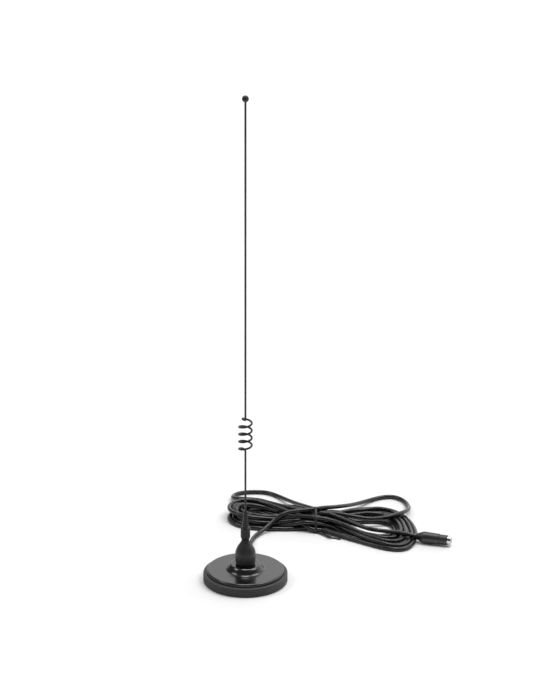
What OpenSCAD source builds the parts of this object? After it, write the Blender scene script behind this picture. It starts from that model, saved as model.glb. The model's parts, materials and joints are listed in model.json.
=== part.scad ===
// Magnet-mount whip antenna with an open phasing coil and a tied coaxial lead.
// Millimetres. Z is up, X is to the right, and the front looks along -Y.
// The origin is on the floor, under the centre of the round base.

/* [Whip] */
// Height from the floor to the top of the ball
total_h = 315; // [280:1:340]
// Diameter of the whip wire
wire_d = 1.3; // [1:0.05:1.35]
// Diameter of the ball on the tip
ball_d = 4.2; // [3.6:0.1:6]

/* [Phasing coil] */
// Height of the lower end of the coil
coil_z = 89.4; // [60:0.2:150]
// Rise of one turn
coil_pitch = 4.9; // [3:0.1:6]
// Number of turns
coil_turns = 4; // [2:1:5]
// Radius of a turn, to the middle of the wire
coil_r = 4; // [3:0.1:6]
// Direction from the axis in which both ends of the coil lie, in degrees
coil_angle = 125; // [0:5:355]

/* [Ferrule] */
// Height of the ribbed barrel
barrel_h = 8.4; // [7:0.1:10]
// Largest diameter of the ribbed barrel
barrel_d = 6.2; // [5.8:0.1:7]
// Height of the cone above the barrel
cone_h = 10.8; // [8:0.1:14]
// Number of grooves around the barrel
grooves = 14; // [8:1:18]
// Diameter of the stud that screws into the mount
stud_d = 3; // [2.6:0.1:3]
// Length of the stud below the ferrule
stud_h = 6.2; // [5.6:0.1:6.4]

/* [Mount housing] */
// Height of the bell above the boss
bell_h = 15.9; // [15.5:0.1:18]
// Largest diameter of the bell
bell_d = 13.2; // [12.8:0.1:15]
// Height of the lead's axis above the floor where it leaves the bell
exit_z = 17; // [16.9:0.1:17.2]

/* [Base] */
// Outside diameter of the guard ring
ring_d = 54; // [50:0.5:60]
// Height of the guard ring
ring_h = 5.8; // [5.4:0.1:6.2]
// Height of the flat of the cap above the floor
cap_z = 7.9; // [7.6:0.1:8.2]
// Height of the top of the boss above the floor
boss_z = 11.5; // [11:0.1:12]
// Diameter of the flat on top of the boss
boss_d = 17.8; // [16:0.2:20]
// Diameter of the foot of the boss
boss_foot_d = 26; // [24:0.2:30]

/* [Lead] */
// Diameter of the coaxial lead
lead_d = 2.8; // [2.6:0.05:2.8]
// Height of the tied hank
hank_h = 13.5; // [12:0.5:15]

/* [Connector] */
// Largest diameter of the moulded grip
grip_d = 7.8; // [7.6:0.1:8.4]
// Diameter of the nickel nose
nose_d = 5.6; // [5.4:0.1:6]
// Length of the nickel nose
nose_h = 2.4; // [2:0.1:4]

/* [Hidden] */

// Gap between parts that nest, and running gap of the stud and the wire
gap = 0.1;
run_gap = 0.05;
wire_gap = 0.02;

// Base, from the floor up
ring_r = ring_d / 2;
ring_wall = 2.1;
ridge_count = 5;
ridge_depth = 0.22;
ridge_margin = 0.6;
ring_edge_r = 0.7;
sheet = 1;
rim_r = 1.1;
pad_h = 0.8;
pad_r = ring_r - 3.7;
magnet_z = pad_h + gap;
cap_r = ring_r - ring_wall - gap;
cup_r = cap_r - sheet - gap;
cup_wall = 1.2;
cup_z = cap_z - sheet - gap;
magnet_top = cup_z - cup_wall;
spacer_r = cup_r - cup_wall - gap;
spacer_wall = 1.2;
magnet_r = spacer_r - spacer_wall - gap;
pole_r = 8;
screw_r = 2;
screw_head_r = 3.9;
screw_head_h = 1.7;
recess_l = 3.8;
recess_w = 0.8;
recess_h = 1;
washer_h = 0.6;
washer_z = magnet_z + gap + screw_head_h;
bush_r = 5;
boss_r = boss_d / 2;
boss_foot_r = boss_foot_d / 2;

// Bell: outer and inner outlines as radius and height above the boss
bell_r = bell_d / 2;
neck_r = 2.55;
neck_in_r = 2.12;
bell_curve = [
    [bell_r - 0.95, 0], [bell_r - 0.3, 1.2], [bell_r, 5.2], [bell_r - 0.15, 8],
    [bell_r - 1.15, 11], [bell_r - 2.9, 13.8], [neck_r, bell_h - 0.3], [neck_r, bell_h]
];
bell_in_curve = [
    [bell_r - 1.8, 0], [bell_r - 1.2, 1.6], [bell_r - 1, 5.2], [bell_r - 1.15, 7.6],
    [bell_r - 2.2, 10.6], [bell_r - 4, 13.2], [neck_in_r, bell_h - 1.4], [neck_in_r, bell_h]
];
neck_z = boss_z + bell_h;
socket_r = 2.05;
socket_z = neck_z - 6.9;
socket_floor = 0.9;
socket_pin_r = 0.5;
insulator_r = 3.2;
insulator_z = socket_z - 1.6;
insulator_h = 4;
core_plate_r = bell_r - 1.9;
core_plate_h = 3.5;
core_plate_z = boss_z + core_plate_h;
core_tube_r = 4.3;
core_tube_z = boss_z + 9;
lug_h = 0.4;
lug_tab_w = 1.4;
lug_tab_end = 4.3;
slot_w = 3.2;

// Lead where it leaves the bell, at the back
lead_r = lead_d / 2;
boot_neck_r = 2;
boot_neck_y = 4.7;
boot_collar_y = bell_r + 0.05;
boot_collar_r = 2.5;
boot_collar_h = 1.3;
boot_tip_r = 1.85;
boot_tip_y = 13.5;
boot_edge = 0.3;
end_y = boot_neck_y - gap;
dielectric_r = 0.85;
dielectric_y = 1.2;
conductor_r = 0.25;
crimp_r = 1.3;
crimp_y = 2.4;
crimp_h = 2.1;

// Ferrule, seal and whip
seal_h = 0.8;
ferrule_z = neck_z + seal_h;
ferrule_foot_r = 2.45;
barrel_r = barrel_d / 2;
barrel_z = ferrule_z + barrel_h;
foot_h = 1;
shoulder_h = 2.2;
groove_r = 0.32;
groove_out = 0.08;
groove_z = ferrule_z + 1.2;
cone_foot_r = 2.15;
cone_tip_r = 1.15;
cone_z = barrel_z + 0.2;
cone_top = barrel_z + cone_h;
insert_r = 2;
insert_h = 5.6;
insert_floor = 1.4;
wire_r = wire_d / 2;
wire_z = ferrule_z + insert_floor;
ball_r = ball_d / 2;
ball_z = total_h - ball_r;
ball_bore_top = ball_z + 0.5;
wire_top = ball_z + 0.4;
wire_bend = 1.2;
wire_sides = 10;
coil_top = coil_z + coil_turns * coil_pitch;
straight = 8;

// Hank: the tie's place in its waist
tie_x = 47.5;
tie_w = 1.6;
tie_depth = 0.7;
tie_tail_r = 0.65;
waist_y0 = 74.5;
waist_y1 = 90;
cord_sides = 8;

// Connector: axis through the middle of the lying grip
conn_x = 114.5;
conn_y = 59.2;
conn_turn = -18;
conn_r = grip_d / 2;
grip_mouth_r = lead_r + 0.6;
grip_taper = 4.1;
grip_end = 15.6;
grip_round = 0.4;
collar_r = 3.3;
collar_end = 21;
collar_edge = 0.3;
body_r = 2.6;
body_start = 12;
body_web = 2;
body_throat_r = 1;
pocket_start = 8;
pocket_r = body_r - 0.2;
sleeve_h = 3.8;
tail_end_h = 10.1;
nose_end = collar_end + nose_h;
nose_recess = 0.8;
conn_insulator_r = 1.9;
contact_r = 0.6;
contact_start = tail_end_h + gap;
contact_end = nose_end - 1.2;
contact_bore_r = 0.35;
contact_bore_z = nose_end - 5;

// Routes of the free lead, of its end at the connector and of the tie's twisted tail
lead_route = [
    [0, 13.5, 17], [0, 16, 17], [0, 19, 17], [0, 25, 15.6], [0.4, 31, 12.6],
    [1.2, 37, 8.6], [2.2, 43, 5.2], [3.2, 49, 2.8], [4, 55, 1.7], [5.2, 61, 1.5],
    [7.5, 66.5, 1.6], [11, 71.5, 2.3], [15.5, 76, 4.2], [20, 80, 6.8], [22.5, 82, 8]
];
tail_route = [[109.7, 60.8, 4.3], [112.1, 60, 4], [114.5, 59.2, 3.9]];
tie_route = [[48, 74, 0.8], [51, 71.6, 0.7], [57, 67.8, 0.7], [63, 64.4, 0.7]];

// Smooth curve through points: Catmull-Rom, n steps a stretch
function blend(a, b, c, d, t) =
    0.5 * (2 * b + (c - a) * t + (2 * a - 5 * b + 4 * c - d) * t * t
        + (3 * b - a - 3 * c + d) * t * t * t);
function smooth(p, n) = concat(
    [for (i = [0 : len(p) - 2])
        for (k = [0 : n - 1])
            blend(p[max(i - 1, 0)], p[i], p[i + 1], p[min(i + 2, len(p) - 1)], k / n)],
    [p[len(p) - 1]]);
function reversed(p) = [for (i = [len(p) - 1 : -1 : 0]) p[i]];
function arc(x, y, r, a0, a1, n) =
    [for (k = [0 : n])
        let (a = a0 + (a1 - a0) * k / n)
        [x + r * cos(a), y + r * sin(a)]];

// Tube swept along points, with rings that don't twist
function unit(v) = v / norm(v);
function along(p, i) = unit(p[min(i + 1, len(p) - 1)] - p[max(i - 1, 0)]);
function across(t) = unit(cross(t, abs(t.z) < 0.9 ? [0, 0, 1] : [1, 0, 0]));
function normals(p, i, n) =
    let (t = along(p, i))
    let (m = i == 0 ? across(t) : unit(n - (n * t) * t))
    i == len(p) - 1 ? [m] : concat([m], normals(p, i + 1, m));

module sweep(p, r, sides) {
    n = normals(p, 0, [0, 0, 0]);
    last = len(p) - 1;
    rings = [for (i = [0 : last])
        let (b = cross(along(p, i), n[i]))
        for (k = [0 : sides - 1])
            p[i] + r * (cos(360 * k / sides) * n[i] + sin(360 * k / sides) * b)];
    walls = [for (i = [0 : last - 1])
        for (k = [0 : sides - 1])
            let (q = (k + 1) % sides)
            [i * sides + k, (i + 1) * sides + k, (i + 1) * sides + q, i * sides + q]];
    start_cap = [for (k = [0 : sides - 1]) k];
    end_cap = [for (k = [sides - 1 : -1 : 0]) last * sides + k];
    polyhedron(points = rings, faces = concat([start_cap], walls, [end_cap]));
}

// Tube or washer standing on height z
module tube(outer, inner, z, h) {
    translate([0, 0, z])
        difference() {
            cylinder(r = outer, h = h, $fn = 96);
            translate([0, 0, -1]) cylinder(r = inner, h = h + 2, $fn = 96);
        }
}

// Turned solid from an outline of radius and height
module turned(outline) {
    rotate_extrude($fn = 128) polygon(outline);
}

// ---- Whip ----

// Bend from the axis out to the coil's radius, s = 1 at the top end and -1 at the bottom end
function leg(z, s) =
    let (d = [cos(coil_angle), sin(coil_angle), 0])
    let (t = s * [sin(coil_angle), -cos(coil_angle), 0])
    let (out = coil_r - wire_bend)
    concat(
        [for (a = [0 : 22.5 : 90])
            wire_bend * (1 - cos(a)) * d + [0, 0, z + s * wire_bend * (1 - sin(a))]],
        [for (a = [0 : 22.5 : 90])
            (out + wire_bend * sin(a)) * d + wire_bend * (1 - cos(a)) * t + [0, 0, z]]);

function coil_points() =
    let (skip = asin(wire_bend / coil_r) + 10)
    [for (a = [skip : 15 : 360 * coil_turns - skip])
        let (b = coil_angle - a)
        [coil_r * cos(b), coil_r * sin(b), coil_top - coil_pitch * a / 360]];

function whip_path() = concat(
    [[0, 0, wire_top], [0, 0, coil_top + straight]],
    leg(coil_top, 1),
    coil_points(),
    reversed(leg(coil_z, -1)),
    [[0, 0, coil_z - straight], [0, 0, wire_z]]);

module whip_wire() {
    color([0.08, 0.08, 0.09]) sweep(whip_path(), wire_r, wire_sides);
}

module tip_ball() {
    color([0.06, 0.06, 0.07])
        difference() {
            translate([0, 0, ball_z]) sphere(r = ball_r, $fn = 64);
            translate([0, 0, ball_z - ball_d])
                cylinder(r = wire_r + wire_gap, h = ball_bore_top - ball_z + ball_d, $fn = 48);
        }
}

// Profile: foot, ribbed barrel, step and cone
module ferrule_shell() {
    color([0.07, 0.07, 0.08])
        difference() {
            turned([
                [0, ferrule_z], [ferrule_foot_r, ferrule_z],
                [barrel_r - 0.25, ferrule_z + foot_h], [barrel_r, ferrule_z + shoulder_h],
                [barrel_r - 0.05, barrel_z - 0.4], [barrel_r - 0.4, barrel_z],
                [cone_foot_r, cone_z], [cone_tip_r + 0.15, cone_top - 0.6],
                [cone_tip_r, cone_top], [0, cone_top]
            ]);
            for (k = [0 : grooves - 1])
                rotate(360 * k / grooves)
                    translate([barrel_r + groove_out, 0, groove_z])
                        cylinder(r = groove_r, h = barrel_z - groove_z - foot_h, $fn = 16);
            translate([0, 0, ferrule_z - 1])
                cylinder(r = insert_r + run_gap, h = insert_h + 1 + gap, $fn = 64);
            translate([0, 0, ferrule_z])
                cylinder(r = wire_r + run_gap, h = barrel_h + cone_h + 1, $fn = 48);
        }
}

module ferrule_insert() {
    color([0.78, 0.62, 0.3])
        difference() {
            union() {
                translate([0, 0, ferrule_z]) cylinder(r = insert_r, h = insert_h, $fn = 64);
                translate([0, 0, ferrule_z - stud_h])
                    cylinder(r = stud_d / 2, h = stud_h + 0.5, $fn = 64);
            }
            translate([0, 0, wire_z - gap])
                cylinder(r = wire_r + wire_gap, h = insert_h, $fn = 48);
        }
}

module seal_ring() {
    color([0.16, 0.16, 0.17])
        turned(concat(
            [[stud_d / 2 + gap, neck_z + run_gap]],
            arc(ferrule_foot_r - 0.3, neck_z + seal_h / 2, seal_h / 2 - run_gap, -90, 90, 12),
            [[stud_d / 2 + gap, neck_z + seal_h - run_gap]]));
}

// ---- Mount housing ----

function lifted(p, z) = [for (q = p) [q.x, q.y + z]];

module mount_housing() {
    color([0.08, 0.08, 0.09])
        difference() {
            turned(lifted(concat(smooth(bell_curve, 5), reversed(smooth(bell_in_curve, 4))), boss_z));
            translate([0, 2, exit_z])
                rotate([-90, 0, 0]) cylinder(r = boot_neck_r + run_gap, h = bell_d, $fn = 48);
        }
}

module thread_socket() {
    color([0.8, 0.64, 0.32])
        difference() {
            union() {
                translate([0, 0, socket_z - socket_floor])
                    cylinder(r = socket_r, h = neck_z - socket_z + socket_floor, $fn = 64);
                translate([0, 0, exit_z - 0.8])
                    cylinder(r = socket_pin_r, h = socket_z - exit_z, $fn = 32);
            }
            translate([0, 0, socket_z])
                cylinder(r = stud_d / 2 + run_gap, h = bell_h, $fn = 64);
        }
}

module socket_insulator() {
    color([0.9, 0.9, 0.86]) tube(insulator_r, socket_r + run_gap, insulator_z, insulator_h);
}

// Plate with the screw hole, and a tube open at the back for the lead
module mount_core() {
    color([0.75, 0.7, 0.55])
        difference() {
            union() {
                translate([0, 0, boss_z]) cylinder(r = core_plate_r, h = core_plate_h, $fn = 96);
                translate([0, 0, boss_z]) cylinder(r = core_tube_r, h = core_tube_z - boss_z, $fn = 96);
            }
            translate([0, 0, core_plate_z])
                cylinder(r = insulator_r + gap, h = bell_h, $fn = 96);
            translate([0, 0, boss_z - 1])
                cylinder(r = screw_r + run_gap, h = core_plate_h + 2, $fn = 64);
            translate([-slot_w / 2, 0, core_plate_z])
                cube([slot_w, bell_r, exit_z + slot_w / 2 - core_plate_z]);
        }
}

module ground_lug() {
    color([0.8, 0.8, 0.78])
        difference() {
            union() {
                translate([0, 0, core_plate_z]) cylinder(r = insulator_r - gap, h = lug_h, $fn = 64);
                translate([-lug_tab_w / 2, screw_r + gap, core_plate_z])
                    cube([lug_tab_w, lug_tab_end - screw_r - gap, lug_h]);
            }
            translate([0, 0, boss_z])
                cylinder(r = screw_r + gap, h = bell_h, $fn = 64);
        }
}

// ---- Lead inside the bell ----

module along_y(y) {
    translate([0, y, exit_z]) rotate([-90, 0, 0]) children();
}

module lead_boot() {
    color([0.1, 0.1, 0.1])
        along_y(0)
            turned([
                [lead_r + run_gap, boot_neck_y], [boot_neck_r, boot_neck_y],
                [boot_neck_r, boot_collar_y], [boot_collar_r, boot_collar_y],
                [boot_collar_r, boot_collar_y + boot_collar_h],
                [boot_collar_r - boot_edge, boot_collar_y + boot_collar_h + boot_edge],
                [boot_tip_r, boot_tip_y], [lead_r + run_gap, boot_tip_y]
            ]);
}

module lead_end() {
    color([0.12, 0.12, 0.12])
        along_y(end_y) cylinder(r = lead_r, h = boot_tip_y - end_y, $fn = 64);
}

module lead_dielectric() {
    color([0.92, 0.92, 0.9])
        along_y(dielectric_y) cylinder(r = dielectric_r, h = end_y - dielectric_y, $fn = 48);
    color([0.8, 0.5, 0.3])
        along_y(socket_pin_r)
            cylinder(r = conductor_r, h = dielectric_y - socket_pin_r, $fn = 24);
}

module braid_crimp() {
    color([0.8, 0.7, 0.45])
        along_y(0) tube(crimp_r, dielectric_r + run_gap, crimp_y, crimp_h);
}

// ---- Base ----

// Rise of the boss from its foot (t = 0) to its flat top (t = 1)
function boss_curve(drop) =
    [for (t = [0 : 0.1 : 1])
        let (rise = (1 - cos(180 * t)) / 2)
        [boss_foot_r + (boss_r - boss_foot_r) * t, cap_z - drop + (boss_z - cap_z) * rise]];

module base_cap() {
    color([0.1, 0.1, 0.11])
        turned(concat(
            [[cap_r, magnet_z]],
            arc(cap_r - rim_r, cap_z - rim_r, rim_r, 0, 90, 8),
            boss_curve(0),
            [[screw_r + gap, boss_z], [screw_r + gap, boss_z - sheet]],
            reversed(boss_curve(sheet)),
            [[cap_r - sheet, cap_z - sheet], [cap_r - sheet, magnet_z]]));
}

module clamp_bush() {
    color([0.7, 0.7, 0.7]) tube(bush_r, screw_r + gap, cup_z, boss_z - sheet - cup_z);
}

module magnet_cup() {
    color([0.62, 0.63, 0.65])
        difference() {
            translate([0, 0, magnet_z]) cylinder(r = cup_r, h = cup_z - magnet_z, $fn = 128);
            translate([0, 0, magnet_z - 1])
                cylinder(r = cup_r - cup_wall, h = magnet_top - magnet_z + 1, $fn = 128);
            cylinder(r = screw_r + gap, h = cap_z, $fn = 64);
        }
}

module ring_magnet() {
    color([0.2, 0.2, 0.21]) tube(magnet_r, pole_r + gap, magnet_z, magnet_top - magnet_z);
}

module spacer_ring() {
    color([0.85, 0.83, 0.75])
        tube(spacer_r, spacer_r - spacer_wall, magnet_z, magnet_top - magnet_z);
}

module pole_core() {
    color([0.6, 0.61, 0.63])
        difference() {
            tube(pole_r, screw_r + gap, magnet_z, magnet_top - magnet_z);
            translate([0, 0, magnet_z - 1])
                cylinder(r = screw_head_r + 0.3, h = washer_z + washer_h - magnet_z + 1, $fn = 64);
        }
}

// Pan head in the counterbore, with a cross recess
module base_screw() {
    color([0.75, 0.75, 0.77])
        difference() {
            union() {
                translate([0, 0, magnet_z + gap]) cylinder(r = screw_head_r, h = screw_head_h, $fn = 64);
                translate([0, 0, magnet_z + gap])
                    cylinder(r = screw_r, h = core_plate_z + lug_h - magnet_z - gap, $fn = 64);
            }
            for (a = [0, 90])
                rotate(a)
                    translate([-recess_l / 2, -recess_w / 2, 0])
                        cube([recess_l, recess_w, magnet_z + recess_h]);
        }
}

module lock_washer() {
    color([0.7, 0.7, 0.72]) tube(screw_head_r, screw_r + gap, washer_z, washer_h);
}

// Ring with fine ridges around it and a lip under the cap's skirt
module guard_ring() {
    ridge_pitch = (ring_h - ridge_margin - ring_edge_r) / ridge_count;
    color([0.09, 0.09, 0.09])
        turned(concat(
            [[pad_r + gap, 0], [ring_r - 0.4, 0], [ring_r, 0.4]],
            [for (k = [0 : ridge_count - 1])
                for (q = [[0, 0.2], [ridge_depth, 0.45], [0, 0.7]])
                    [ring_r - q.x, ridge_margin + ridge_pitch * (k + q.y)]],
            arc(ring_r - ring_edge_r, ring_h - ring_edge_r, ring_edge_r, 0, 90, 6),
            [[cap_r + gap, ring_h], [cap_r + gap, pad_h], [pad_r + gap, pad_h]]));
}

module foot_pad() {
    color([0.14, 0.14, 0.14]) cylinder(r = pad_r, h = pad_h, $fn = 128);
}

// ---- Lead, hank and tie ----

module coax_lead() {
    color([0.06, 0.06, 0.06]) sweep(smooth(lead_route, 3), lead_r, cord_sides);
}

// Plan outline of the two fans of loops, round at their ends and narrow at the tie
function hank_outline() = concat(
    [[tie_x - 1, waist_y0], [tie_x + 1, waist_y0]],
    smooth([[59, 70], [73, 59.5], [85, 50.5]], 4),
    arc(99, 58.5, 14.5, -125, 0, 10),
    arc(99, 117.5, 14.5, 0, 125, 10),
    smooth([[81, 120], [67, 104], [55, 93]], 4),
    [[tie_x + 1, waist_y1], [tie_x - 1, waist_y1]],
    smooth([[39, 99], [30, 115], [23, 130]], 4),
    arc(4, 128.5, 14.5, 30, 180, 10),
    arc(2.5, 94.5, 14, 180, 270, 8),
    smooth([[23, 80.5], [37, 79]], 2));

module coax_hank() {
    color([0.07, 0.07, 0.07])
        difference() {
            linear_extrude(height = hank_h) polygon(hank_outline());
            tie_band(tie_w + 2 * gap, 2, tie_depth + gap);
        }
}

// Band around the waist: w wide along X, reaching out and in from the waist's faces
module tie_band(w, out, in) {
    translate([tie_x - w / 2, 0, 0])
        difference() {
            translate([0, waist_y0 - out, -out])
                cube([w, waist_y1 - waist_y0 + 2 * out, hank_h + 2 * out]);
            translate([-1, waist_y0 + in, in])
                cube([w + 2, waist_y1 - waist_y0 - 2 * in, hank_h - 2 * in]);
        }
}

module twist_tie() {
    color([0.1, 0.1, 0.1]) tie_band(tie_w, 0, tie_depth);
    color([0.1, 0.1, 0.1]) sweep(smooth(tie_route, 3), tie_tail_r, cord_sides);
}

module coax_tail() {
    color([0.06, 0.06, 0.06]) sweep(smooth(tail_route, 2), lead_r, cord_sides);
}

// ---- Connector, lying on its grip ----

module on_connector() {
    translate([conn_x, conn_y, conn_r]) rotate([0, 0, conn_turn]) rotate([0, 90, 0]) children();
}

module connector_boot() {
    color([0.09, 0.09, 0.09])
        on_connector()
            turned([
                [lead_r + run_gap, 0], [grip_mouth_r, 0], [conn_r - grip_round, grip_taper - 0.6],
                [conn_r, grip_taper + 0.6], [conn_r - 0.3, grip_end - grip_round],
                [conn_r - 0.3 - grip_round, grip_end],
                [body_r + run_gap, grip_end], [body_r + run_gap, body_start],
                [pocket_r, body_start], [pocket_r, pocket_start], [lead_r + run_gap, pocket_start]
            ]);
}

module connector_collar() {
    color([0.1, 0.1, 0.1])
        on_connector()
            turned([
                [body_r + run_gap, grip_end + gap], [collar_r, grip_end + gap],
                [collar_r, collar_end - collar_edge], [collar_r - collar_edge, collar_end],
                [body_r + run_gap, collar_end]
            ]);
}

module connector_body() {
    color([0.85, 0.85, 0.86])
        on_connector()
            difference() {
                union() {
                    translate([0, 0, body_start])
                        cylinder(r = body_r, h = collar_end - body_start, $fn = 64);
                    translate([0, 0, collar_end]) cylinder(r = nose_d / 2, h = nose_h, $fn = 64);
                }
                translate([0, 0, body_start + body_web])
                    cylinder(r = conn_insulator_r + run_gap, h = nose_end, $fn = 64);
                translate([0, 0, body_start - 1])
                    cylinder(r = body_throat_r, h = body_web + 2, $fn = 48);
            }
}

module connector_insulator() {
    start = body_start + body_web;
    color([0.93, 0.93, 0.9])
        on_connector()
            tube(conn_insulator_r, contact_r + run_gap, start, nose_end - nose_recess - start);
}

module connector_contact() {
    color([0.85, 0.7, 0.35])
        on_connector()
            difference() {
                translate([0, 0, contact_start])
                    cylinder(r = contact_r, h = contact_end - contact_start, $fn = 48);
                translate([0, 0, contact_bore_z]) cylinder(r = contact_bore_r, h = 5, $fn = 32);
            }
}

module crimp_sleeve() {
    color([0.75, 0.75, 0.76])
        on_connector() tube(pocket_r - run_gap, lead_r + run_gap, pocket_start + gap, sleeve_h);
}

module tail_end() {
    color([0.12, 0.12, 0.12]) on_connector() cylinder(r = lead_r, h = tail_end_h, $fn = 64);
}

tip_ball();
whip_wire();
ferrule_shell();
ferrule_insert();
seal_ring();
mount_housing();
thread_socket();
socket_insulator();
mount_core();
ground_lug();
lead_boot();
lead_end();
lead_dielectric();
braid_crimp();
base_cap();
clamp_bush();
magnet_cup();
ring_magnet();
spacer_ring();
pole_core();
base_screw();
lock_washer();
guard_ring();
foot_pad();
coax_lead();
coax_hank();
coax_tail();
twist_tie();
connector_boot();
connector_collar();
connector_body();
connector_insulator();
connector_contact();
crimp_sleeve();
tail_end();
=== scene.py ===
"""Magnet-mount whip antenna: its coaxial lead, twist tie, whip wire, materials and studio.

Everything is in metres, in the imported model's own frame: +Z is up, the base stands on z = 0,
the front looks along -Y and the connector lies towards +X.
"""
import json
import math

import bpy
import numpy as np
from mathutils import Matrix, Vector


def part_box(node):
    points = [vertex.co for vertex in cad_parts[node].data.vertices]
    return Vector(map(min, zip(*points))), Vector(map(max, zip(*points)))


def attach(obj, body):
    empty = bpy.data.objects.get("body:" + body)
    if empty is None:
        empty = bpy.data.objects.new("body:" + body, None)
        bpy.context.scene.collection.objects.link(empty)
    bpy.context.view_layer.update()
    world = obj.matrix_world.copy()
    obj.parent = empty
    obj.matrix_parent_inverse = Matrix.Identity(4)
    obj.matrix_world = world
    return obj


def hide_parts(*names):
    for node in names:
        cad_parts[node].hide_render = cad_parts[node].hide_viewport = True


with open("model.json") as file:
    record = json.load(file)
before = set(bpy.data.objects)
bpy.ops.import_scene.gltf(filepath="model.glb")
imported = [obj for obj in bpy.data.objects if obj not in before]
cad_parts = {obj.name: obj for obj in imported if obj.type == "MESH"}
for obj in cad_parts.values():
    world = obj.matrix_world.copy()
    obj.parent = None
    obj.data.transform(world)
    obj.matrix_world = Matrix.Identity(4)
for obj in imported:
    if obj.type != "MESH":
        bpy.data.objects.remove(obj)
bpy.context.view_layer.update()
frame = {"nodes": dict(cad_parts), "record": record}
nodes = frame["nodes"]

# ---- Camera ----

CAMERA_AT = (0.0, -1.211, 0.570)
CAMERA_PITCH = math.radians(18.89)      # below the horizon
CAMERA_LENS, CAMERA_SENSOR = 106.66, 36.0   # millimetres
CAMERA_SHIFT_X = 0.0351
CAMERA_NEAR, CAMERA_FAR = 0.01, 50.0


def make_camera():
    data = bpy.data.cameras.new("camera")
    data.lens = CAMERA_LENS
    data.sensor_width = CAMERA_SENSOR
    data.shift_x = CAMERA_SHIFT_X
    data.clip_start = CAMERA_NEAR
    data.clip_end = CAMERA_FAR
    camera = bpy.data.objects.new("camera", data)
    camera.location = CAMERA_AT
    camera.rotation_euler = (math.radians(90) - CAMERA_PITCH, 0, 0)
    bpy.context.scene.collection.objects.link(camera)
    bpy.context.scene.camera = camera


make_camera()

# ---- Lead: facts and route ----

LEAD_D = 0.0028
LEAD_R = LEAD_D / 2
ROUTE_STEP = 0.0008         # spacing of the points that the laid-out route is smoothed with
STEP = 0.0024               # spacing of the points that the lead is settled with
FINE_STEP = 0.0012          # spacing of the finished curve's points
LEAD_SIDES = 16
LAYER = 0.00245             # height of one layer of strands on the one below
STRAND_GAP = 0.0029         # spacing of strands side by side

TIE_X, TIE_Y = 0.0475, 0.0823
TIE_LIFT = 0.0009           # the tie's wire under the waist lifts it off the floor
TIE_LIFT_WIDTH = 0.006      # how far along the lead that lift is felt

# Passes in front of and behind the middle, in each row of the tied waist, from the floor up
WAIST_ROWS = [(2, 2), (3, 2), (2, 3), (2, 2), (1, 0)]
WAIST_LEAN = 0.0009         # how far each row lies behind the one below

# From the mount down to the floor and up over the front of the pile
LEAD_ROUTE = [
    (0, 0.0135, 0.017), (0, 0.016, 0.017), (0, 0.019, 0.017), (0, 0.025, 0.0156),
    (0.0004, 0.031, 0.0126), (0.0012, 0.037, 0.0086), (0.0022, 0.043, 0.0052),
    (0.0032, 0.049, 0.0028), (0.004, 0.055, 0.0017), (0.0052, 0.061, 0.0015),
    (0.0075, 0.0665, 0.0016), (0.011, 0.0715, 0.0023), (0.0155, 0.076, 0.0042),
    (0.020, 0.080, 0.0068), (0.0245, 0.0824, 0.0092), (0.030, 0.084, 0.0108),
    (0.038, 0.0845, 0.0118)]

# The high loop at the right, over the back of the pile and down to the floor behind it
RIGHT_HIGH = [
    (0.056, 0.091, 0.0118), (0.065, 0.100, 0.0102), (0.074, 0.111, 0.0072),
    (0.084, 0.123, 0.0038), (0.094, 0.131, 0.0018), (0.103, 0.1325, 0.0014),
    (0.1095, 0.126, 0.0018), (0.112, 0.115, 0.0036), (0.1105, 0.1035, 0.0062),
    (0.1045, 0.094, 0.008), (0.095, 0.0875, 0.0082), (0.084, 0.0855, 0.008),
    (0.073, 0.087, 0.0086), (0.061, 0.0885, 0.0092)]

# The upper loop at the left, on top of the pile
LEFT_HIGH = [
    (0.038, 0.093, 0.0088), (0.030, 0.100, 0.0076), (0.022, 0.1065, 0.0066),
    (0.013, 0.111, 0.0062), (0.005, 0.112, 0.0062), (-0.002, 0.109, 0.0062),
    (-0.0065, 0.103, 0.0062), (-0.0055, 0.096, 0.0062), (0.001, 0.0915, 0.0062),
    (0.012, 0.0895, 0.0064), (0.025, 0.0865, 0.0064), (0.037, 0.083, 0.006)]

# The last loop at the left, round the back on the floor and home over the pile
LEFT_LAST = [
    (0.0415, 0.097, 0.0095), (0.0355, 0.1085, 0.0076), (0.0285, 0.1225, 0.0044),
    (0.0215, 0.1335, 0.002), (0.0145, 0.1389, 0.0014), (0.0065, 0.1400, 0.0014),
    (-0.0015, 0.1388, 0.0014), (-0.0068, 0.1355, 0.0018), (-0.0088, 0.130, 0.003),
    (-0.0065, 0.1245, 0.0048), (-0.0005, 0.1205, 0.0066), (0.008, 0.115, 0.0082),
    (0.018, 0.107, 0.0096), (0.029, 0.0975, 0.0106), (0.040, 0.0895, 0.0108)]

# From the tie over the front of the right-hand fan to the connector
TAIL_ROUTE = [
    (0.056, 0.0815, 0.0112), (0.065, 0.0765, 0.0108), (0.0745, 0.070, 0.0098),
    (0.0835, 0.0635, 0.0092), (0.092, 0.061, 0.0082), (0.101, 0.0615, 0.006),
    (0.1097, 0.0608, 0.0043), (0.1121, 0.060, 0.004), (0.1145, 0.0592, 0.0039)]

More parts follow.
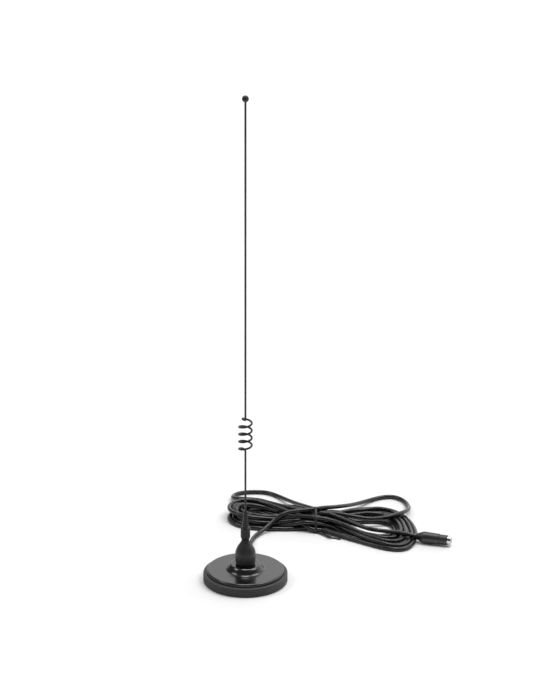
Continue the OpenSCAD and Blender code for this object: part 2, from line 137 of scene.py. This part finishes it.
# One turn at the right and at the left: fractions along the fan and across it
RIGHT_TURN = [
    (0.10, -0.03), (0.20, -0.12), (0.34, -0.34), (0.50, -0.60), (0.66, -0.82),
    (0.80, -0.95), (0.90, -0.94), (0.97, -0.80), (1.015, -0.55), (1.01, -0.25),
    (0.985, 0.08), (0.945, 0.42), (0.885, 0.74), (0.79, 0.96), (0.66, 1.00),
    (0.50, 0.86), (0.34, 0.60), (0.16, 0.26)]
LEFT_TURN = [
    (0.14, -0.06), (0.30, -0.28), (0.50, -0.60), (0.70, -0.90), (0.86, -0.88),
    (0.96, -0.58), (1.00, -0.10), (0.97, 0.42), (0.88, 0.82), (0.72, 1.00),
    (0.52, 0.85), (0.32, 0.50), (0.14, 0.18)]

# Each turn: direction in degrees, length, half width at its start and at its end, layer
RIGHT_TURNS = [
    (0, 0.0640, 0.0375, 0.0245, 0), (0, 0.0610, 0.0330, 0.0200, 0),
    (0, 0.0580, 0.0280, 0.0155, 0), (0, 0.0545, 0.0225, 0.0110, 0),
    (0, 0.0620, 0.0350, 0.0220, 1), (0, 0.0590, 0.0300, 0.0175, 1),
    (0, 0.0555, 0.0250, 0.0130, 1), (0, 0.0515, 0.0165, 0.0080, 0)]
LEFT_TURNS = [
    (163, 0.0585, 0.0130, 0.0130, 0), (163, 0.0557, 0.0105, 0.0105, 0),
    (150, 0.0615, 0.0130, 0.0135, 1), (150, 0.0587, 0.0105, 0.0106, 1),
    (157, 0.0585, 0.0135, 0.0135, 2), (164, 0.0550, 0.0115, 0.0115, 2),
    (157, 0.0550, 0.0104, 0.0104, 2)]


def waist_slots():
    """Places of the passes through the tie, as (y, z), in front and behind, from the floor up."""
    front, back = [], []
    for row, (in_front, behind) in enumerate(WAIST_ROWS):
        count = in_front + behind
        first = TIE_Y - (count - 1) / 2 * STRAND_GAP + row * WAIST_LEAN
        places = [(first + k * STRAND_GAP, LEAD_R + TIE_LIFT + row * LAYER) for k in range(count)]
        front += places[:in_front]
        back += places[in_front:]
    return front, back


def through_tie(place):
    return (TIE_X, place[0], place[1])


def turn(outline, start, end, angle, length, width_out, width_back, layer):
    """One turn from waist place start, round the outline, to waist place end."""
    along = np.array([math.cos(math.radians(angle)), math.sin(math.radians(angle))])
    across = np.array([-along[1], along[0]])
    floor_z = LEAD_R + LAYER * layer
    points = []
    for k, (u, v) in enumerate(outline):
        place = start if k < len(outline) / 2 else end
        near = max(0.0, 1 - 2 * u)
        width = width_out if v < 0 else width_back
        x, y = np.array([TIE_X, TIE_Y]) + u * length * along + v * width * across
        points.append((x, y + near * (place[0] - TIE_Y), floor_z + near * (place[1] - floor_z)))
    return points + [through_tie(end)]


def lead_points():
    """The whole lead as laid out, before it is settled."""
    front, back = waist_slots()
    lead, tail, front = front[-1], front[-2], front[:-2]
    high, back = back[-2], back[:-2] + back[-1:]
    points = LEAD_ROUTE + [through_tie(lead)] + RIGHT_HIGH + [through_tie(high)]
    points += LEFT_HIGH + [through_tie(front[0])]
    for k, right in enumerate(RIGHT_TURNS):
        points += turn(RIGHT_TURN, front[k], back[k], *right)
        if k < len(LEFT_TURNS):
            points += turn(LEFT_TURN, back[k], front[k + 1], *LEFT_TURNS[k])
    return points + LEFT_LAST + [through_tie(tail)] + TAIL_ROUTE


def smooth_path(points, step):
    """Catmull-Rom curve through the points, about step apart."""
    p = np.asarray(points, float)
    p = np.vstack([2 * p[0] - p[1], p, 2 * p[-1] - p[-2]])
    out = []
    for a, b, c, d in zip(p, p[1:], p[2:], p[3:]):
        count = max(2, int(np.linalg.norm(c - b) / step))
        t = (np.arange(count) / count)[:, None]
        out.append(0.5 * (2 * b + (c - a) * t + (2 * a - 5 * b + 4 * c - d) * t ** 2
                          + (3 * b - a - 3 * c + d) * t ** 3))
    return np.vstack(out + [p[-2:-1]])


def respace(path, step):
    """The same path with evenly spaced points, about step apart."""
    run = np.r_[0, np.cumsum(np.linalg.norm(np.diff(path, axis=0), axis=1))]
    at = np.linspace(0, run[-1], int(round(run[-1] / step)) + 1)
    return np.column_stack([np.interp(at, run, path[:, k]) for k in range(3)])


# ---- Lead: settling ----

SETTLE_ROUNDS = 300
CALM_ROUNDS = 40            # last rounds, with no more sinking
SINK = 0.00005              # how far a strand sinks in a round
SINKING_EVENING, CALM_EVENING = 6, 2    # times the change is evened out in a round
PUSHES = 5                  # times the strands are pushed in a round
SEARCH_ROUNDS = 5           # rounds from one search for close strands to the next
SEARCH_MARGIN = 0.002       # strands count as close up to this far past the clearance
SAME_STRAND = 5             # points fewer than this many apart along the lead are one strand
CLEARANCE = 0.0029          # least distance between the middles of two strands
BEND_R = 0.012              # least radius of a bend, before strands push each other aside
BEND_SPANS = (7, 4, 2)      # stretches, in points, over which a bend is opened
HELD_START, HELD_END = 0.088, 0.012     # lengths at the ends that stay as laid out
# The connector's grip: its length, its radius at the lead, how fast that grows, and its full radius
GRIP_L, GRIP_END_R, GRIP_SLOPE, GRIP_R = 0.02, 0.002, 0.5, 0.0039


def floor_height(x):
    """Lowest middle line of a strand: on the floor, or on the tie's wire."""
    return LEAD_R + TIE_LIFT * np.exp(-((x - TIE_X) / TIE_LIFT_WIDTH) ** 2)


def even_out(change, free, times):
    """Smooths the change from the laid-out path along the lead."""
    for _ in range(times):
        pull = np.zeros_like(change)
        pull[1:-1] = 0.25 * (change[:-2] + change[2:]) - 0.5 * change[1:-1]
        change = change + pull * free
    return change


def open_bends(path, free, step):
    """Pushes points apart where the lead bends tighter than BEND_R."""
    last = len(path)
    for k in BEND_SPANS:
        least = 2 * BEND_R * math.sin(k * step / (2 * BEND_R))
        for offset in range(2 * k):
            a = np.arange(offset, last - k, 2 * k)
            b = a + k
            gap = path[b] - path[a]
            far = np.linalg.norm(gap, axis=1, keepdims=True)
            push = 0.5 * np.minimum(0, far - least) / far * gap
            path[a] += push * free[a]
            path[b] -= push * free[b]


def part_strands(path, free, pairs):
    """Pushes strands apart where they lie in each other."""
    gap = path[pairs[1]] - path[pairs[0]]
    far = np.linalg.norm(gap, axis=1)
    near = far < CLEARANCE
    a, b = pairs[0][near], pairs[1][near]
    push = (0.5 * (CLEARANCE - far[near]) / far[near])[:, None] * gap[near]
    total = np.zeros_like(path)
    np.add.at(total, a, -push)
    np.add.at(total, b, push)
    count = np.bincount(np.r_[a, b], minlength=len(path))[:, None]
    path += total / np.sqrt(np.maximum(count, 1)) * free


def clear_connector(path, free):
    """Pushes strands out of the connector's grip, which carries on where the lead ends."""
    start = np.array(TAIL_ROUTE[-1])
    axis = start - np.array(TAIL_ROUTE[-3])
    axis /= np.linalg.norm(axis)
    run = np.clip((path - start) @ axis, 0, GRIP_L)
    grip = np.minimum(GRIP_END_R + GRIP_SLOPE * run, GRIP_R)
    out = path - start - run[:, None] * axis
    far = np.linalg.norm(out, axis=1) + 1e-9
    push = np.maximum(0, grip + LEAD_R - far)
    path += (push / far)[:, None] * out * free


def settle(path, step):
    """Lets the laid-out lead sink into a pile whose strands lie on and beside each other."""
    held = np.zeros((len(path), 1), bool)
    held[:int(HELD_START / step)] = True
    held[-int(HELD_END / step):] = True
    free = (~held).astype(float)
    laid = path.copy()
    path = path.copy()
    for settling in range(SETTLE_ROUNDS):
        calm = settling >= SETTLE_ROUNDS - CALM_ROUNDS
        if not calm:
            path[:, 2] -= SINK * free[:, 0]
        path = laid + even_out(path - laid, free, CALM_EVENING if calm else SINKING_EVENING)
        if settling % SEARCH_ROUNDS == 0:
            square = (path ** 2).sum(1)
            apart = square[:, None] + square[None, :] - 2 * path @ path.T
            pairs = np.where(np.triu(apart < (CLEARANCE + SEARCH_MARGIN) ** 2, SAME_STRAND))
        for _ in range(PUSHES):
            open_bends(path, free, step)
            part_strands(path, free, pairs)
            clear_connector(path, free)
            path[:, 2] = np.maximum(path[:, 2], floor_height(path[:, 0]))
    return path


# ---- Meshes ----

FIRST_NORMAL = (0.31, 0.17, 0.93)       # a direction that no path here starts in
THIN_STEP = 0.0002          # spacing of the points that a thin piece's path is smoothed with


def add_piece(name, verts, faces):
    mesh = bpy.data.meshes.new(name)
    mesh.from_pydata([tuple(v) for v in verts], [], faces)
    mesh.polygons.foreach_set("use_smooth", [True] * len(mesh.polygons))
    mesh.update()
    piece = bpy.data.objects.new(name, mesh)
    bpy.context.scene.collection.objects.link(piece)
    return piece


def directions(path, closed):
    """Unit tangents of a path."""
    if closed:
        along = np.roll(path, -1, axis=0) - np.roll(path, 1, axis=0)
    else:
        along = np.gradient(path, axis=0)
    return along / np.linalg.norm(along, axis=1, keepdims=True)


def carried_normals(along, first):
    """One normal for each tangent, turned as little as possible from one to the next."""
    normals = []
    normal = np.asarray(first, float)
    for tangent in along:
        normal = normal - (normal @ tangent) * tangent
        normal = normal / np.linalg.norm(normal)
        normals.append(normal)
    return np.array(normals)


def sweep(path, profile, normals=None, closed=False):
    """Vertices and faces of a profile, as (out, across) pairs, carried along a path."""
    path = np.asarray(path, float)
    along = directions(path, closed)
    if normals is None:
        normals = carried_normals(along, FIRST_NORMAL)
    across = np.cross(along, normals)
    count = len(profile)
    verts = np.vstack([p + profile[:, :1] * n + profile[:, 1:] * c
                       for p, n, c in zip(path, normals, across)])
    rings = len(path)
    faces = []
    for ring in range(rings if closed else rings - 1):
        here, there = ring * count, (ring + 1) % rings * count
        for k in range(count):
            nxt = (k + 1) % count
            faces.append((here + k, here + nxt, there + nxt, there + k))
    if not closed:
        faces += [tuple(range(count))[::-1], tuple(range((rings - 1) * count, rings * count))]
    return verts, faces


def ellipse(half_out, half_across, sides):
    angle = np.arange(sides) * 2 * math.pi / sides
    return np.c_[half_out * np.cos(angle), half_across * np.sin(angle)]


def join_meshes(parts):
    """Vertices and faces of several meshes as one."""
    verts, faces = [], []
    for part_verts, part_faces in parts:
        faces += [tuple(i + len(verts) for i in face) for face in part_faces]
        verts += list(part_verts)
    return verts, faces


# ---- Lead ----

laid_path = respace(smooth_path(lead_points(), ROUTE_STEP), STEP)
lead_path = smooth_path(settle(laid_path, STEP), FINE_STEP)
lead = add_piece("coaxial_lead", *sweep(lead_path, ellipse(LEAD_R, LEAD_R, LEAD_SIDES)))
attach(lead, "root")
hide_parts("coax_lead", "coax_hank", "coax_tail")

# ---- Twist tie round the waist, its ends twisted together at the front ----

# The band's section, out from the strands and across: flat wings, and a ridge over its wire
TIE_PROFILE = np.array([
    (0.00005, -0.0009), (0.00017, -0.0009), (0.00019, -0.00042), (0.00033, -0.00027),
    (0.00042, 0), (0.00033, 0.00027), (0.00019, 0.00042), (0.00017, 0.0009),
    (0.00005, 0.0009)])
TIE_END_PROFILE = ellipse(0.00028, 0.00075, 10)
TIE_STEP, TIE_END_STEP = 0.0004, 0.0003
OUTLINE_SIDES = 32

# The stretch where the two ends are twisted together, then each end on its own
TIE_TWIST = [(0.0480, 0.0736, 0.0012), (0.0496, 0.0718, 0.0010), (0.0518, 0.0694, 0.0009),
             (0.0544, 0.0668, 0.0009)]
TIE_LONG = [(0.0576, 0.0648, 0.0008), (0.0606, 0.0638, 0.0006), (0.0636, 0.0622, 0.0008)]
TIE_SHORT = [(0.0560, 0.0648, 0.0011), (0.0570, 0.0630, 0.0018)]
TIE_TWIST_TURNS = 2.5
TIE_TWIST_R = 0.0003


def waist_outline():
    """Outline round all the strands where the tie crosses them, as (y, z) points."""
    crossings = []
    for a, b in zip(lead_path, lead_path[1:]):
        if (a[0] - TIE_X) * (b[0] - TIE_X) <= 0 and a[0] != b[0]:
            t = (TIE_X - a[0]) / (b[0] - a[0])
            crossings.append(a[1:] + t * (b[1:] - a[1:]))
    ring = ellipse(LEAD_R, LEAD_R, OUTLINE_SIDES)
    points = sorted(tuple(c + r) for c in crossings for r in ring)
    hull = []
    for sweep_points in (points, points[::-1]):
        side = []
        for p in sweep_points:
            while len(side) > 1 and np.cross(np.subtract(side[-1], side[-2]),
                                             np.subtract(p, side[-1])) <= 0:
                side.pop()
            side.append(p)
        hull += side[:-1]
    return np.array(hull)


def make_tie():
    outline = waist_outline()
    outline = np.vstack([outline, outline[:1]])
    outline = np.column_stack([np.zeros(len(outline)), outline])
    band = respace(outline, TIE_STEP)[:-1]
    band[:, 0] = TIE_X
    outward = np.cross(directions(band, True), (1, 0, 0))
    parts = [sweep(band, TIE_PROFILE, outward, closed=True)]
    for start, tail in ((0.0, TIE_LONG), (math.pi, TIE_SHORT)):
        path = respace(smooth_path(TIE_TWIST + tail, THIN_STEP), TIE_END_STEP)
        along = directions(path, False)
        normals = carried_normals(along, (0, 0, 1))
        across = np.cross(along, normals)
        twist_length = np.linalg.norm(np.diff(TIE_TWIST, axis=0), axis=1).sum()
        run = np.minimum(np.arange(len(path)) * TIE_END_STEP / twist_length, 1)
        angle = (start + run * TIE_TWIST_TURNS * 2 * math.pi)[:, None]
        out = np.cos(angle) * normals + np.sin(angle) * across
        path = path + TIE_TWIST_R * out
        parts.append(sweep(path, TIE_END_PROFILE, out))
    tie = add_piece("paper_tie", *join_meshes(parts))
    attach(tie, "root")
    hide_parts("twist_tie")
    return tie


tie = make_tie()

# ---- Whip wire with its open coil ----

WIRE_R = 0.00065
WIRE_SIDES = 20
WIRE_STEP = 0.0005
WIRE_BEND = 0.0012          # radius of the bends between the straight wire and its coil
COIL_Z, COIL_PITCH, COIL_TURNS, COIL_R = 0.0894, 0.0049, 4, 0.004
COIL_TOP = COIL_Z + COIL_TURNS * COIL_PITCH
COIL_ANGLE = math.radians(125)
COIL_GAP = 10               # degrees left out between the coil and its end bends, for a smooth join
ARC_STEP = 15               # degrees from one point to the next on the coil and the bends
STRAIGHT = 0.008            # clear length of the straight wire above and below the coil
TOP_POINTS, FOOT_POINTS = 40, 12


def coil_leg(z, side):
    """Bend from the axis out to the coil's radius, side 1 at the top end and -1 at the foot."""
    out = np.array([math.cos(COIL_ANGLE), math.sin(COIL_ANGLE), 0])
    round_ = side * np.array([math.sin(COIL_ANGLE), -math.cos(COIL_ANGLE), 0])
    points = []
    for a in np.radians(np.arange(0, 91, ARC_STEP)):
        up = z + side * WIRE_BEND * (1 - math.sin(a))
        points.append(WIRE_BEND * (1 - math.cos(a)) * out + np.array([0, 0, up]))
    for a in np.radians(np.arange(0, 91, ARC_STEP)):
        reach = COIL_R - WIRE_BEND + WIRE_BEND * math.sin(a)
        points.append(reach * out + WIRE_BEND * (1 - math.cos(a)) * round_ + np.array([0, 0, z]))
    return points


def whip_path():
    lowest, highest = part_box("whip_wire")
    skip = math.degrees(math.asin(WIRE_BEND / COIL_R)) + COIL_GAP
    coil = []
    for a in np.arange(skip, 360 * COIL_TURNS - skip, ARC_STEP):
        angle = COIL_ANGLE - math.radians(a)
        coil.append((COIL_R * math.cos(angle), COIL_R * math.sin(angle),
                     COIL_TOP - COIL_PITCH * a / 360))
    top = [(0, 0, z) for z in np.linspace(highest.z, COIL_TOP + STRAIGHT, TOP_POINTS)]
    foot = [(0, 0, z) for z in np.linspace(COIL_Z - STRAIGHT, lowest.z, FOOT_POINTS)]
    points = top + coil_leg(COIL_TOP, 1) + coil + coil_leg(COIL_Z, -1)[::-1] + foot
    return respace(smooth_path(points, THIN_STEP), WIRE_STEP)


whip = add_piece("whip", *sweep(whip_path(), ellipse(WIRE_R, WIRE_R, WIRE_SIDES)))
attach(whip, "whip")
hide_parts("whip_wire")

# ---- Materials ----

BROAD_DETAIL, FINE_DETAIL = 3, 2
NOISE_LOW, NOISE_HIGH = 0.35, 0.65      # the middle part of a noise, which is spread out


def link(tree, out_node, out_name, in_node, in_name):
    tree.links.new(out_node.outputs[out_name], in_node.inputs[in_name])


def noise(tree, coordinate, scale, detail, stretch=(1, 1, 1)):
    """Noise over the object's own coordinates, in cells per metre."""
    mapping = tree.nodes.new("ShaderNodeMapping")
    mapping.inputs["Scale"].default_value = stretch
    link(tree, coordinate, "Object", mapping, "Vector")
    texture = tree.nodes.new("ShaderNodeTexNoise")
    texture.inputs["Scale"].default_value = scale
    texture.inputs["Detail"].default_value = detail
    link(tree, mapping, "Vector", texture, "Vector")
    return texture


def ramp(tree, source, low, high):
    """Spreads the source's middle values from low to high."""
    spread = tree.nodes.new("ShaderNodeMapRange")
    spread.inputs["From Min"].default_value = NOISE_LOW
    spread.inputs["From Max"].default_value = NOISE_HIGH
    spread.inputs["To Min"].default_value = low
    spread.inputs["To Max"].default_value = high
    link(tree, source, "Fac", spread, "Value")
    return spread


def make_material(slot, colours, roughness, metallic=0.0, specular=0.5, patches=400, grain=4000,
                  grain_depth=0.00002, stretch=(1, 1, 1)):
    """Surface whose colour and roughness vary in patches, with a fine grain in its relief.

    Patches and grain are in cells per metre, and the grain's depth is in metres."""
    material = bpy.data.materials.new(slot)
    material.use_nodes = True
    tree = material.node_tree
    shader = tree.nodes["Principled BSDF"]
    shader.inputs["Metallic"].default_value = metallic
    shader.inputs["Specular IOR Level"].default_value = specular
    coordinate = tree.nodes.new("ShaderNodeTexCoord")
    broad = noise(tree, coordinate, patches, BROAD_DETAIL, stretch)
    mix = tree.nodes.new("ShaderNodeMix")
    mix.data_type = "RGBA"
    mix.inputs["A"].default_value = (*colours[0], 1)
    mix.inputs["B"].default_value = (*colours[1], 1)
    link(tree, ramp(tree, broad, 0, 1), "Result", mix, "Factor")
    link(tree, mix, "Result", shader, "Base Color")
    link(tree, ramp(tree, broad, *roughness), "Result", shader, "Roughness")
    fine = noise(tree, coordinate, grain, FINE_DETAIL, stretch)
    bump = tree.nodes.new("ShaderNodeBump")
    bump.inputs["Distance"].default_value = grain_depth
    bump.inputs["Strength"].default_value = 1.0
    link(tree, fine, "Fac", bump, "Height")
    link(tree, bump, "Normal", shader, "Normal")
    return material


def greys(darkest, lightest):
    """Two greys with a trace of blue."""
    return [(value, value, value * 1.02) for value in (darkest, lightest)]


# For each slot: the two colours and the two roughnesses that it varies between, and the rest
FINISHES = {
    "whip_black": dict(colours=greys(0.003, 0.006), roughness=(0.34, 0.44),
                       grain=6000, grain_depth=0.000008),
    "ferrule_black": dict(colours=greys(0.002, 0.004), roughness=(0.32, 0.42), specular=0.4,
                          grain=5000, grain_depth=0.00001),
    "housing_black": dict(colours=greys(0.022, 0.030), roughness=(0.34, 0.44), specular=0.4,
                          grain=5000, grain_depth=0.000008),
    "seal_rubber": dict(colours=greys(0.05, 0.075), roughness=(0.6, 0.75)),
    "cap_black": dict(colours=greys(0.005, 0.007), roughness=(0.17, 0.25), specular=0.8,
                      patches=150, grain=1500, grain_depth=0.000003),
    "ring_rubber": dict(colours=greys(0.050, 0.068), roughness=(0.55, 0.7), specular=0.35,
                        grain=5000, grain_depth=0.00003),
    "pad_black": dict(colours=greys(0.04, 0.06), roughness=(0.8, 0.9), grain_depth=0.00004),
    "lead_black": dict(colours=greys(0.005, 0.009), roughness=(0.24, 0.33), specular=0.6,
                       patches=250, grain=3000, grain_depth=0.000003),
    "tie_black": dict(colours=greys(0.02, 0.03), roughness=(0.3, 0.42)),
    "grip_black": dict(colours=greys(0.009, 0.014), roughness=(0.36, 0.44), specular=0.8,
                       grain=5000, grain_depth=0.00001),
    "nickel": dict(colours=((0.72, 0.7, 0.66), (0.8, 0.78, 0.75)), roughness=(0.12, 0.22),
                   metallic=1.0, grain_depth=0.000003),
    "brass": dict(colours=((0.75, 0.53, 0.24), (0.82, 0.62, 0.3)), roughness=(0.2, 0.34),
                  metallic=1.0, grain_depth=0.000006),
    "steel": dict(colours=((0.5, 0.5, 0.51), (0.62, 0.62, 0.64)), roughness=(0.25, 0.4),
                  metallic=1.0, grain_depth=0.000006, stretch=(1, 1, 6)),
    "ferrite": dict(colours=greys(0.05, 0.08), roughness=(0.45, 0.6)),
    "white_plastic": dict(colours=((0.8, 0.79, 0.74), (0.86, 0.85, 0.82)),
                          roughness=(0.35, 0.5), grain_depth=0.00001),
}
MATERIALS = {slot: make_material(slot, **finish) for slot, finish in FINISHES.items()}


def dress(piece, slot):
    piece.data.materials.clear()
    piece.data.materials.append(MATERIALS[slot])


for subpart in frame["record"]["subparts"]:
    dress(nodes[subpart["node"]], subpart["material_slot"])
dress(lead, "lead_black")
dress(tie, "tie_black")
dress(whip, "whip_black")

# ---- Studio ----

FLOOR_SIZE = 14.0
FLOOR_Z = -0.0001
FLOOR_WHITE = (0.92, 0.92, 0.92, 1)
FLOOR_ROUGHNESS, FLOOR_SPECULAR = 0.7, 0.1
WORLD_BRIGHTEST = (0.5, 0.84, 0.2)      # towards the bright wall
WORLD_DIM, WORLD_BRIGHT = 0.12, 1.35
WORLD_EDGE = 0.2            # cosine of the angle from the wall at which the studio is dim
# Each sun: where its light comes from, its strength and its spread in degrees
SUNS = {
    "overhead": ((0.0, 0.1, 1.0), 1.05, 20),
    "left": ((-0.66, 0.0, 0.75), 0.55, 20),
    "right": ((0.5, 0.05, 0.87), 1.05, 34),
}


def make_floor():
    mesh = bpy.data.meshes.new("floor")
    half = FLOOR_SIZE / 2
    corners = [(-half, -half), (half, -half), (half, half), (-half, half)]
    mesh.from_pydata([(x, y, FLOOR_Z) for x, y in corners], [], [(0, 1, 2, 3)])
    floor = bpy.data.objects.new("floor", mesh)
    bpy.context.scene.collection.objects.link(floor)
    material = bpy.data.materials.new("floor_white")
    material.use_nodes = True
    shader = material.node_tree.nodes["Principled BSDF"]
    shader.inputs["Base Color"].default_value = FLOOR_WHITE
    shader.inputs["Roughness"].default_value = FLOOR_ROUGHNESS
    shader.inputs["Specular IOR Level"].default_value = FLOOR_SPECULAR
    mesh.materials.append(material)


def add_sun(name, comes_from, strength, spread):
    """Even light from one direction, softened over the spread."""
    data = bpy.data.lights.new(name, "SUN")
    data.energy = strength
    data.angle = math.radians(spread)
    light = bpy.data.objects.new(name, data)
    light.rotation_euler = Vector(comes_from).to_track_quat("Z", "Y").to_euler()
    bpy.context.scene.collection.objects.link(light)


def make_world():
    """Dim studio with a bright wall behind the object, towards its right."""
    world = bpy.data.worlds.new("studio")
    bpy.context.scene.world = world
    world.use_nodes = True
    tree = world.node_tree
    background = tree.nodes["Background"]
    background.inputs["Color"].default_value = (1, 1, 1, 1)
    coordinate = tree.nodes.new("ShaderNodeTexCoord")
    towards = tree.nodes.new("ShaderNodeVectorMath")
    towards.operation = "DOT_PRODUCT"
    towards.inputs[1].default_value = WORLD_BRIGHTEST
    link(tree, coordinate, "Generated", towards, "Vector")
    spread = tree.nodes.new("ShaderNodeMapRange")
    spread.interpolation_type = "SMOOTHSTEP"
    spread.inputs["From Min"].default_value = WORLD_EDGE
    spread.inputs["From Max"].default_value = 1.0
    spread.inputs["To Min"].default_value = WORLD_DIM
    spread.inputs["To Max"].default_value = WORLD_BRIGHT
    link(tree, towards, "Value", spread, "Value")
    link(tree, spread, "Result", background, "Strength")


make_world()
make_floor()
for sun, light in SUNS.items():
    add_sun(sun, *light)
bpy.context.scene.view_settings.view_transform = "Standard"
